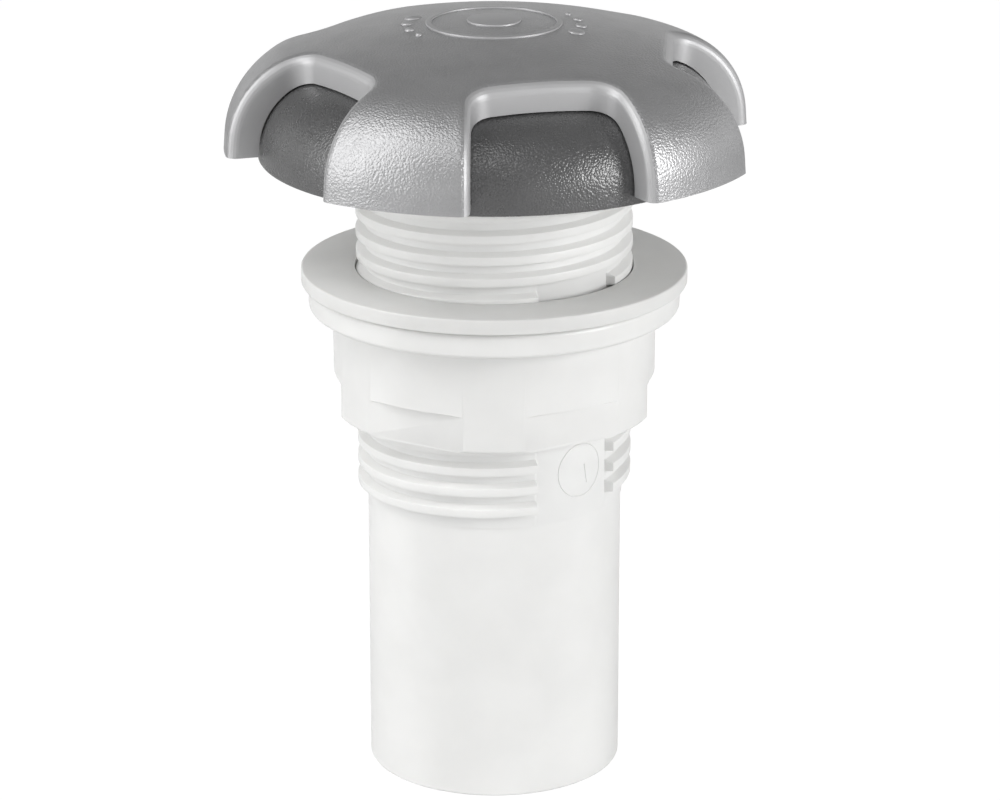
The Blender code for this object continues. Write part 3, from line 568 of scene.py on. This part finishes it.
def make_thread():
    azimuths = [360.0 * i / THREAD_STEPS for i in range(THREAD_STEPS)]
    for end in (WINDOW_START, WINDOW_END):
        azimuths = [azimuth for azimuth in azimuths if abs(azimuth - end) > 2 * WINDOW_FADE]
        azimuths += [end + WINDOW_FADE * share for share in WINDOW_SHARES]
    bm = thread_sheet(TUBE_LENGTH, NECK_BOTTOM, 0.0, sorted(azimuths), True)
    rim = [edge for edge in bm.edges if edge.is_boundary]
    grown = bmesh.ops.extrude_edge_only(bm, edges=rim)
    for item in grown["geom"]:
        if isinstance(item, bmesh.types.BMVert):
            scale = HIDDEN_RADIUS / math.hypot(item.co.x, item.co.y)
            item.co.x *= scale
            item.co.y *= scale
    bmesh.ops.recalc_face_normals(bm, faces=bm.faces)
    return make_object("thread", bm)


def on_window_floor(sideways, up):
    """A point on the window's floor, from the middle of its round mark."""
    radius = THREAD_ROOT - WINDOW_RELIEF
    angle = MARK_AZIMUTH + sideways / radius
    return Vector((radius * math.cos(angle), radius * math.sin(angle), MARK_HEIGHT + up))


def raised_line(name, points, closed):
    """A thin half-sunk cord along points on the window's floor."""
    bm = bmesh.new()
    rings = []
    for index, point in enumerate(points):
        if closed:
            along = points[(index + 1) % len(points)] - points[index - 1]
        else:
            along = points[min(index + 1, len(points) - 1)] - points[max(index - 1, 0)]
        outward = Vector((point.x, point.y, 0.0)).normalized()
        across = along.normalized().cross(outward)
        turns = [math.tau * k / CORD_SIDES for k in range(CORD_SIDES)]
        rings.append([bm.verts.new(point + MARK_CORD * (math.cos(turn) * outward
                                                        + math.sin(turn) * across))
                      for turn in turns])
    pairs = list(zip(rings, rings[1:])) + ([(rings[-1], rings[0])] if closed else [])
    for ring, after in pairs:
        for k in range(CORD_SIDES):
            ahead = (k + 1) % CORD_SIDES
            bm.faces.new((ring[k], ring[ahead], after[ahead], after[k]))
    if not closed:
        bm.faces.new(rings[0])
        bm.faces.new(rings[-1])
    bmesh.ops.recalc_face_normals(bm, faces=bm.faces)
    return make_object(name, bm)


def make_body():
    body = lathe("valve_body_shape", rounded([
        (CHAMBER_RADIUS + BORE_LEAD, COLLAR_TOP, 0.1 * MM),
        (COLLAR_RADIUS, COLLAR_TOP, 0.5 * MM),
        (COLLAR_RADIUS, FLANGE_TOP, 0.4 * MM),
        (FLANGE_RADIUS, FLANGE_TOP, 0.6 * MM),
        (FLANGE_RADIUS, FLANGE_BOTTOM, 0.15 * MM),
        (NECK_RADIUS, FLANGE_BOTTOM, 0.15 * MM),
        (NECK_RADIUS, NECK_BOTTOM, 0.1 * MM),
        (TUBE_RADIUS, NECK_BOTTOM, 0),
        (TUBE_RADIUS, 0.0, 0.5 * MM),
        (SOCKET_RADIUS + BORE_LEAD, 0.0, 0.15 * MM),
        (SOCKET_RADIUS, BORE_LEAD, 0.15 * MM),
        (SOCKET_RADIUS, SOCKET_DEPTH, 0.2 * MM),
        (STOP_RADIUS, SOCKET_DEPTH, 0.2 * MM),
        (STOP_RADIUS, STOP_TOP, 0.3 * MM),
        (PASSAGE_RADIUS, TAPER_TOP, 0.3 * MM),
        (PASSAGE_RADIUS, CHAMBER_BOTTOM, 0.2 * MM),
        (CHAMBER_RADIUS, CHAMBER_BOTTOM, 0.2 * MM),
        (CHAMBER_RADIUS, COLLAR_TOP - BORE_LEAD, 0.15 * MM),
    ]))
    ports = [sweep_about_axis("port", [
        (CHAMBER_RADIUS - WIDE_MARGIN, PORT_BOTTOM), (COLLAR_RADIUS + WIDE_MARGIN, PORT_BOTTOM),
        (COLLAR_RADIUS + WIDE_MARGIN, PORT_TOP), (CHAMBER_RADIUS - WIDE_MARGIN, PORT_TOP),
    ], middle - PORT_ANGLE / 2, PORT_ANGLE, PORT_STEPS) for middle in (0.0, math.pi)]
    cut(body, ports)
    turns = [math.tau * i / MARK_STEPS for i in range(MARK_STEPS)]
    ring = [on_window_floor(MARK_RADIUS * math.cos(turn), MARK_RADIUS * math.sin(turn))
            for turn in turns]
    tick = []
    for i in range(TICK_STEPS + 1):
        along = (i / TICK_STEPS - 0.5) * TICK_LENGTH
        tick.append(on_window_floor(TICK_OFFSET - along * math.sin(TICK_LEAN),
                                    along * math.cos(TICK_LEAN) - TICK_DROP))
    join(body, [make_thread(), raised_line("round_mark", ring, True),
                raised_line("tick", tick, False)])
    finish_piece(body, "body", "white_plastic", ["valve_body"], WHITE)


# Lock nut and gasket

def make_nut():
    groove = THREAD_CREST + THREAD_CLEARANCE + NUT_MOUTH_GAP
    nut = lathe("lock_nut_shape", rounded([
        (groove, NUT_TOP, 0.2 * MM),
        (NUT_FLANGE_RADIUS, NUT_TOP, 0.9 * MM),
        (NUT_FLANGE_RADIUS, NUT_FLANGE_BOTTOM, 0.8 * MM),
        (NUT_RADIUS, NUT_FLANGE_BOTTOM, 0.9 * MM),
        (NUT_RADIUS, NUT_BOTTOM, 0.7 * MM),
        (groove, NUT_BOTTOM, 0.2 * MM),
        (THREAD_ROOT, NUT_BOTTOM + NUT_LEAD, 0),
        (THREAD_ROOT, NUT_TOP - NUT_LEAD, 0),
    ]))
    azimuths = [360.0 * i / TAP_STEPS for i in range(TAP_STEPS)]
    bm = thread_sheet(NUT_BOTTOM - CUT_MARGIN, NUT_TOP + CUT_MARGIN, THREAD_CLEARANCE, azimuths,
                      False)
    bmesh.ops.holes_fill(bm, edges=[edge for edge in bm.edges if edge.is_boundary])
    bmesh.ops.recalc_face_normals(bm, faces=bm.faces)
    tools = [make_object("tap", bm)]

    outline = [(FLAT_APOTHEM, NUT_BOTTOM - CUT_MARGIN)]
    depth = NUT_RADIUS - FLAT_APOTHEM
    for index in range(FLAT_STEPS + 1):
        angle = math.pi / 2 * (1 - index / FLAT_STEPS)
        outline.append((FLAT_APOTHEM + depth * (1 - math.sin(angle)),
                        FLAT_TOP + FLAT_LEDGE * math.cos(angle)))
    top = FLAT_TOP + FLAT_LEDGE
    outline += [(NUT_RADIUS + CUT_MARGIN, top), (NUT_RADIUS + CUT_MARGIN, NUT_BOTTOM - CUT_MARGIN)]
    stand_up = Matrix.Rotation(math.pi / 2, 4, "X")
    for index in range(FLAT_COUNT):
        flat = prism("flat", outline, -NUT_RADIUS / 2, NUT_RADIUS / 2)
        flat.data.transform(Matrix.Rotation(index * math.tau / FLAT_COUNT, 4, "Z") @ stand_up)
        tools.append(flat)
    cut(nut, tools)
    finish_piece(nut, "nut", "nut_plastic", ["lock_nut"], NUT_WHITE)


def make_gasket():
    gasket = lathe("gasket_shape", rounded([
        (GASKET_BORE, GASKET_TOP, 0.2 * MM),
        (GASKET_RADIUS, GASKET_TOP, 0.3 * MM),
        (GASKET_RADIUS, GASKET_BOTTOM, 0.3 * MM),
        (GASKET_BORE, GASKET_BOTTOM, 0.2 * MM),
    ]))
    finish_piece(gasket, "gasket", "gasket_rubber", ["gasket"], GASKET)


# Cap

def make_handle():
    inner = HANDLE_DOME.inset(HANDLE_WALL)
    seat = HANDLE_DOME.height_at(0.0) - SCREW_RECESS
    groove_in = SPIGOT_RADIUS - SPIGOT_WALL - CONTACT_GAP
    groove_out = SPIGOT_RADIUS + CONTACT_GAP
    groove_floor = HANDLE_DOME.height_at(SPIGOT_RADIUS) - SPIGOT_DEPTH - CONTACT_GAP
    bearing = COLLAR_TOP + CONTACT_GAP
    rim_in = HANDLE_RIM_RADIUS - HANDLE_WALL
    profile = [(SCREW_HOLE, seat), (SCREW_RECESS_RADIUS, seat),
               (SCREW_RECESS_RADIUS, HANDLE_DOME.height_at(SCREW_RECESS_RADIUS)),
               (groove_in, HANDLE_DOME.height_at(groove_in)), (groove_in, groove_floor),
               (groove_out, groove_floor)]
    profile += HANDLE_DOME.points(groove_out, HANDLE_OUTER_STEPS)
    profile += rounded([(HANDLE_RIM_RADIUS, HANDLE_RIM_HEIGHT + HANDLE_SKIRT / 2, 0),
                        (HANDLE_RIM_RADIUS, HANDLE_RIM_HEIGHT, 0.35 * MM),
                        (rim_in, HANDLE_RIM_HEIGHT, 0.3 * MM),
                        (rim_in, HANDLE_RIM_HEIGHT + HANDLE_SKIRT / 2, 0)], closed=False)
    profile += reversed(inner.points(BEARING_OUT, HANDLE_INNER_STEPS))
    profile += [(BEARING_OUT, bearing), (BEARING_IN, bearing),
                (BEARING_IN, inner.height_at(BEARING_IN)),
                (HUB_RADIUS, inner.height_at(HUB_RADIUS)), (HUB_RADIUS, bearing),
                (SCREW_HOLE, bearing)]
    handle = lathe("turn_handle_shape", profile)
    corner = DRIVE_WIDTH / 2 / math.cos(math.pi / 6)
    outline = [(corner * math.cos(k * math.pi / 3), corner * math.sin(k * math.pi / 3))
               for k in range(6)]
    cut(handle, [prism("drive_socket", outline, bearing - WIDE_MARGIN, DRIVE_TOP)])
    finish_piece(handle, "cap", "dark_grey_plastic", ["turn_handle"], DOME_GREY)


class WindowPlan:
    """Plan of one window in the cover: a straight inner side, a round corner and a flared
    side. Distances run from the middle of the inner side out to the rim."""

    def __init__(self):
        self.center_u = WINDOW_REACH + WINDOW_CORNER
        inward = WINDOW_CORNER * (1 - math.sin(WINDOW_FLARE)) / math.cos(WINDOW_FLARE)
        self.center_v = WINDOW_HALF_WIDTH - inward
        self.corner_angle = math.pi / 2 - WINDOW_FLARE
        self.corner_length = WINDOW_CORNER * self.corner_angle
        self.side_start = self.center_v + self.corner_length

    def at(self, distance):
        if distance <= self.center_v:
            return WINDOW_REACH, distance
        turned = min(distance - self.center_v, self.corner_length) / WINDOW_CORNER
        run = max(0.0, distance - self.side_start)
        along = math.pi - turned
        return (self.center_u + WINDOW_CORNER * math.cos(along) + run * math.cos(WINDOW_FLARE),
                self.center_v + WINDOW_CORNER * math.sin(along) + run * math.sin(WINDOW_FLARE))

    def side_distance(self, radius):
        """Distance along the outline at which its flared side reaches a radius."""
        start_u, start_v = self.at(self.side_start)
        half = start_u * math.cos(WINDOW_FLARE) + start_v * math.sin(WINDOW_FLARE)
        rest = start_u ** 2 + start_v ** 2 - radius ** 2
        return self.side_start - half + math.sqrt(half ** 2 - rest)


def cover_point(meridian, azimuth):
    radius, height = COVER_DOME.at(meridian)
    return Vector((radius * math.cos(azimuth), radius * math.sin(azimuth), height))


def cover_stations(window):
    """Distances along a window's outline, each with its distance along the meridian."""
    runs = [window.center_v * i / CHORD_STEPS for i in range(CHORD_STEPS)]
    runs += [window.center_v + window.corner_length * i / CORNER_STEPS
             for i in range(CORNER_STEPS)]
    stations = [(run, COVER_DOME.distance_at(math.hypot(*window.at(run)))) for run in runs]
    first = COVER_DOME.distance_at(math.hypot(*window.at(window.side_start)))
    for i in range(SIDE_STEPS + 1):
        meridian = first + (COVER_DOME.length - first) * i / SIDE_STEPS
        stations.append((window.side_distance(COVER_DOME.at(meridian)[0]), meridian))
    return stations


def rolled_edge(skin_point, edge_point, wall_point):
    """Points of a round between the skin and a window's wall."""
    points = []
    for i in range(FILLET_STEPS + 1):
        t = i / FILLET_STEPS
        a, b, c = (1 - t) ** 2, 2 * t * (1 - t) * math.sqrt(0.5), t ** 2
        points.append((skin_point * a + edge_point * b + wall_point * c) / (a + b + c))
    return points


def cover_columns(window, stations):
    """The fillet's inner edge on the skin, and the columns of points down each wall."""
    stand_off = COVER_RIM_RADIUS - HANDLE_RIM_RADIUS + COVER_WALL / 2
    edges, columns = [], []
    last = len(stations) - 1
    for index, (run, meridian) in enumerate(stations):
        u, v = window.at(run)
        radius, height = COVER_DOME.at(meridian)
        azimuth = math.atan2(v, u)
        before, after = stations[max(index - 1, 0)], stations[min(index + 1, last)]
        angle_before = math.atan2(*reversed(window.at(before[0])))
        angle_after = math.atan2(*reversed(window.at(after[0])))
        on_skin = Vector((after[1] - before[1], radius * (angle_after - angle_before))).normalized()
        drop = COVER_DOME.at(after[1])[1] - COVER_DOME.at(before[1])[1]
        on_wall = Vector((after[0] - before[0], drop)).normalized()
        if index == 0:
            on_skin, on_wall = Vector((0.0, 1.0)), Vector((1.0, 0.0))
        if index == last:
            on_skin, on_wall = Vector((1.0, 0.0)), Vector((0.0, -1.0))
        skin_meridian = meridian - COVER_FILLET * on_skin.y
        skin_azimuth = azimuth + COVER_FILLET * on_skin.x / radius

        def wall_point(depth):
            place = window.at(max(0.0, run + depth * on_wall.y))
            return Vector((place[0], place[1], height - depth * on_wall.x))

        edges.append((skin_meridian, skin_azimuth))
        column = rolled_edge(cover_point(skin_meridian, skin_azimuth), Vector((u, v, height)),
                             wall_point(COVER_FILLET))
        column += [wall_point(COVER_FILLET + (stand_off - COVER_FILLET) * (i + 1) / WALL_STEPS)
                   for i in range(WALL_STEPS)]
        columns.append(column)
    return edges, columns


def make_cover_skin():
    """One sheet over crown, lobes and window walls: slot 0 is grained, slot 1 smooth."""
    window = WindowPlan()
    edges, columns = cover_columns(window, cover_stations(window))
    corner_index = max(range(len(edges)), key=lambda index: edges[index][1])
    bm = bmesh.new()

    def add_grid(rows, slot):
        for row, next_row in zip(rows, rows[1:]):
            for a, b, c, d in zip(row, row[1:], next_row[1:], next_row):
                face = bm.faces.new([bm.verts.new(corner) for corner in (a, b, c, d)])
                face.material_index = slot

    add_grid([column[:GRAIN_STEPS + 1] for column in columns], 0)
    add_grid([column[GRAIN_STEPS:] for column in columns], 1)
    lobe_rows = [[(meridian, azimuth + (SECTOR / 2 - azimuth) * i / LOBE_STEPS)
                  for i in range(LOBE_STEPS + 1)] for meridian, azimuth in edges[corner_index:]]
    add_grid([[cover_point(*place) for place in row] for row in lobe_rows], 0)
    crown_edge = edges[:corner_index] + lobe_rows[0]
    crown_rows = [[cover_point(meridian * (1 - i / CROWN_STEPS), azimuth)
                   for meridian, azimuth in crown_edge] for i in range(CROWN_STEPS)]
    add_grid(crown_rows, 0)
    top = cover_point(0.0, 0.0)
    for a, b in zip(crown_rows[-1], crown_rows[-1][1:]):
        bm.faces.new([bm.verts.new(corner) for corner in (a, b, top)])

    bmesh.ops.mirror(bm, geom=[*bm.verts, *bm.edges, *bm.faces], matrix=Matrix(), axis="Y",
                     merge_dist=MERGE_DISTANCE)
    bmesh.ops.spin(bm, geom=[*bm.verts, *bm.edges, *bm.faces], cent=(0, 0, 0), axis=(0, 0, 1),
                   angle=math.tau - SECTOR, steps=LOBE_COUNT - 1, use_duplicate=True)
    bmesh.ops.rotate(bm, verts=bm.verts, cent=(0, 0, 0),
                     matrix=Matrix.Rotation(FIRST_WINDOW, 3, "Z"))
    bmesh.ops.remove_doubles(bm, verts=bm.verts, dist=MERGE_DISTANCE)
    bmesh.ops.recalc_face_normals(bm, faces=bm.faces)
    skin = make_object("cap_cover_shape", bm)
    skin.data.materials.append(SILVER_GRAIN)
    skin.data.materials.append(SILVER_SMOOTH)
    return skin


def top_mark(name, profile, azimuth, distance):
    """A raised mark turned about an axis that stands square on the cover's crown."""
    mark = lathe(name, profile, steps=TOP_MARK_STEPS, closed=False)
    tilt = distance / COVER_CROWN_RADIUS
    radius, height = COVER_DOME.at(distance)
    stand = (Matrix.Rotation(azimuth, 4, "Z") @ Matrix.Translation((radius, 0.0, height))
             @ Matrix.Rotation(tilt, 4, "Y"))
    mark.data.transform(stand)
    return mark


def make_top_marks():
    """Two opposite rows of dots, a ring and a disc."""
    marks = []
    for half_turn in (0.0, 180.0):
        for size, azimuth in zip(DOT_RADII, DOT_AZIMUTHS):
            angles = [math.pi / 2 * i / DOT_STEPS for i in range(DOT_STEPS + 1)]
            dome = [(size * math.sin(angle), DOT_RELIEF * math.cos(angle)) for angle in angles]
            dome.append((size, -DOT_RELIEF))
            marks.append(top_mark("dot", dome, math.radians(azimuth + half_turn), DOT_CIRCLE))
    ring = (RING_RADIUS - RING_WIDTH / 2, RING_RADIUS + RING_WIDTH / 2)
    for inner, outer in (ring, (0.0, DISC_RADIUS)):
        foot_in = COVER_DOME.height_at(inner) - MARK_SINK
        foot_out = COVER_DOME.height_at(outer) - MARK_SINK
        crest_in, crest_out = foot_in + MARK_SINK + MARK_RELIEF, foot_out + MARK_SINK + MARK_RELIEF
        corners = [(inner, crest_in, MARK_ROUND if inner else 0), (outer, crest_out, MARK_ROUND),
                   (outer, foot_out, 0), (inner, foot_in, 0)]
        marks.append(lathe("ring", rounded(corners, steps=RING_ARC_STEPS)))
    return marks


def make_cover():
    cover = make_cover_skin()
    shell = cover.modifiers.new("wall", "SOLIDIFY")
    shell.thickness = COVER_WALL
    shell.offset = -1.0
    shell.use_even_offset = True
    shell.bevel_convex = 1.0
    edge_round = cover.modifiers.new("edge_round", "BEVEL")
    edge_round.limit_method = "WEIGHT"
    edge_round.width = RIM_ROUND
    edge_round.segments = RIM_SEGMENTS
    apply_modifiers(cover)

    foot = HANDLE_DOME.height_at(SPIGOT_RADIUS) - SPIGOT_DEPTH
    top = COVER_DOME.height_at(SPIGOT_RADIUS) - COVER_WALL / 2
    spigot_in = SPIGOT_RADIUS - SPIGOT_WALL
    spigot = lathe("cover_spigot", [(SPIGOT_RADIUS, top), (SPIGOT_RADIUS, foot),
                                    (spigot_in, foot), (spigot_in, top)], SPIGOT_STEPS)
    clear = HANDLE_DOME.inset(-CONTACT_GAP)
    start = SPIGOT_RADIUS + CONTACT_GAP
    below = HANDLE_RIM_HEIGHT - HANDLE_WALL
    space = clear.points(start, TRIM_MERIDIAN_STEPS) + [(clear.rim[0], below), (start, below)]
    cut(cover, [lathe("handle_clearance", space, TRIM_STEPS)])
    marks = make_top_marks()
    # The marks take slot 1, the smooth silver. The ungrained finish is their own, but its lighter
    # tone also serves as a painted highlight so that the dots, ring and disc read as bright bumps.
    for mark in marks:
        mark.data.polygons.foreach_set("material_index", [1] * len(mark.data.polygons))
    join(cover, [spigot, *marks])
    finish_piece(cover, "cap", "silver_plastic", ["cap_cover"], SILVER_GRAIN, SILVER_SMOOTH)


make_body()
make_nut()
make_gasket()
make_handle()
make_cover()

for node, material in (("air_rotor", ROTOR), ("upper_o_ring", RUBBER), ("lower_o_ring", RUBBER),
                       ("handle_screw", STEEL.material)):
    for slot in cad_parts[node].material_slots:
        slot.material = material


# Floor, light and camera

def pale_floor():
    bm = bmesh.new()
    bmesh.ops.create_circle(bm, cap_ends=True, segments=96, radius=FLOOR_RADIUS)
    floor = make_object("floor", bm)
    nodes = Nodes("floor_pale", 0.9)
    nodes.color(nodes.noise(2.0), (0.84, 0.84, 0.84), (0.86, 0.86, 0.86))
    glow = nodes.add("ShaderNodeEmission")
    glow.inputs["Color"].default_value = (1.0, 1.0, 1.0, 1.0)
    glow.inputs["Strength"].default_value = FLOOR_GLOW
    path = nodes.add("ShaderNodeLightPath")
    share = nodes.add("ShaderNodeMath", operation="MULTIPLY")
    share.inputs[1].default_value = FLOOR_GLOW_SHARE
    nodes.tree.links.new(path.outputs["Is Camera Ray"], share.inputs[0])
    mix = nodes.add("ShaderNodeMixShader")
    output = nodes.tree.nodes["Material Output"]
    nodes.tree.links.new(share.outputs["Value"], mix.inputs["Fac"])
    nodes.tree.links.new(nodes.shader.outputs["BSDF"], mix.inputs[1])
    nodes.tree.links.new(glow.outputs["Emission"], mix.inputs[2])
    nodes.tree.links.new(mix.outputs["Shader"], output.inputs["Surface"])
    floor.data.materials.append(nodes.material)


def area_light(name, place, size, power):
    data = bpy.data.lights.new(name, "AREA")
    data.shape = "RECTANGLE"
    data.size, data.size_y = size
    data.energy = power
    light = bpy.data.objects.new(name, data)
    light.location = place
    aim = LIGHT_TARGET - Vector(place)
    light.rotation_euler = aim.to_track_quat("-Z", "Y").to_euler()
    bpy.context.scene.collection.objects.link(light)


def studio_world():
    """A white studio: bright round the horizon, greyer overhead."""
    world = bpy.data.worlds.new("studio")
    bpy.context.scene.world = world
    world.use_nodes = True
    tree = world.node_tree
    coords = tree.nodes.new("ShaderNodeTexCoord")
    split = tree.nodes.new("ShaderNodeSeparateXYZ")
    ramp = tree.nodes.new("ShaderNodeValToRGB")
    ramp.color_ramp.elements[0].position = SKY_START
    ramp.color_ramp.elements[0].color = (1.0, 1.0, 1.0, 1.0)
    ramp.color_ramp.elements[1].position = SKY_END
    ramp.color_ramp.elements[1].color = (SKY_GREY, SKY_GREY, SKY_GREY, 1.0)
    tree.links.new(coords.outputs["Generated"], split.inputs["Vector"])
    tree.links.new(split.outputs["Z"], ramp.inputs["Fac"])
    tree.links.new(ramp.outputs["Color"], tree.nodes["Background"].inputs["Color"])
    tree.nodes["Background"].inputs["Strength"].default_value = SKY_STRENGTH


pale_floor()
studio_world()
area_light("key_left", (-0.64, -0.26, 0.52), (0.5, 1.0), 6.0)
area_light("key_right", (0.78, -0.42, 0.33), (0.26, 0.4), 5.0)
area_light("front_high", (-0.09, -0.56, 0.82), (0.3, 0.3), 1.0)

camera_data = bpy.data.cameras.new("photo_camera")
camera_data.sensor_width = CAMERA_SENSOR
camera_data.lens = CAMERA_LENS
camera = bpy.data.objects.new("photo_camera", camera_data)
camera.location = CAMERA_PLACE
camera.rotation_euler = (math.radians(90 - CAMERA_PITCH), 0.0, 0.0)
bpy.context.scene.collection.objects.link(camera)
bpy.context.scene.camera = camera
bpy.context.scene.view_settings.view_transform = "Standard"
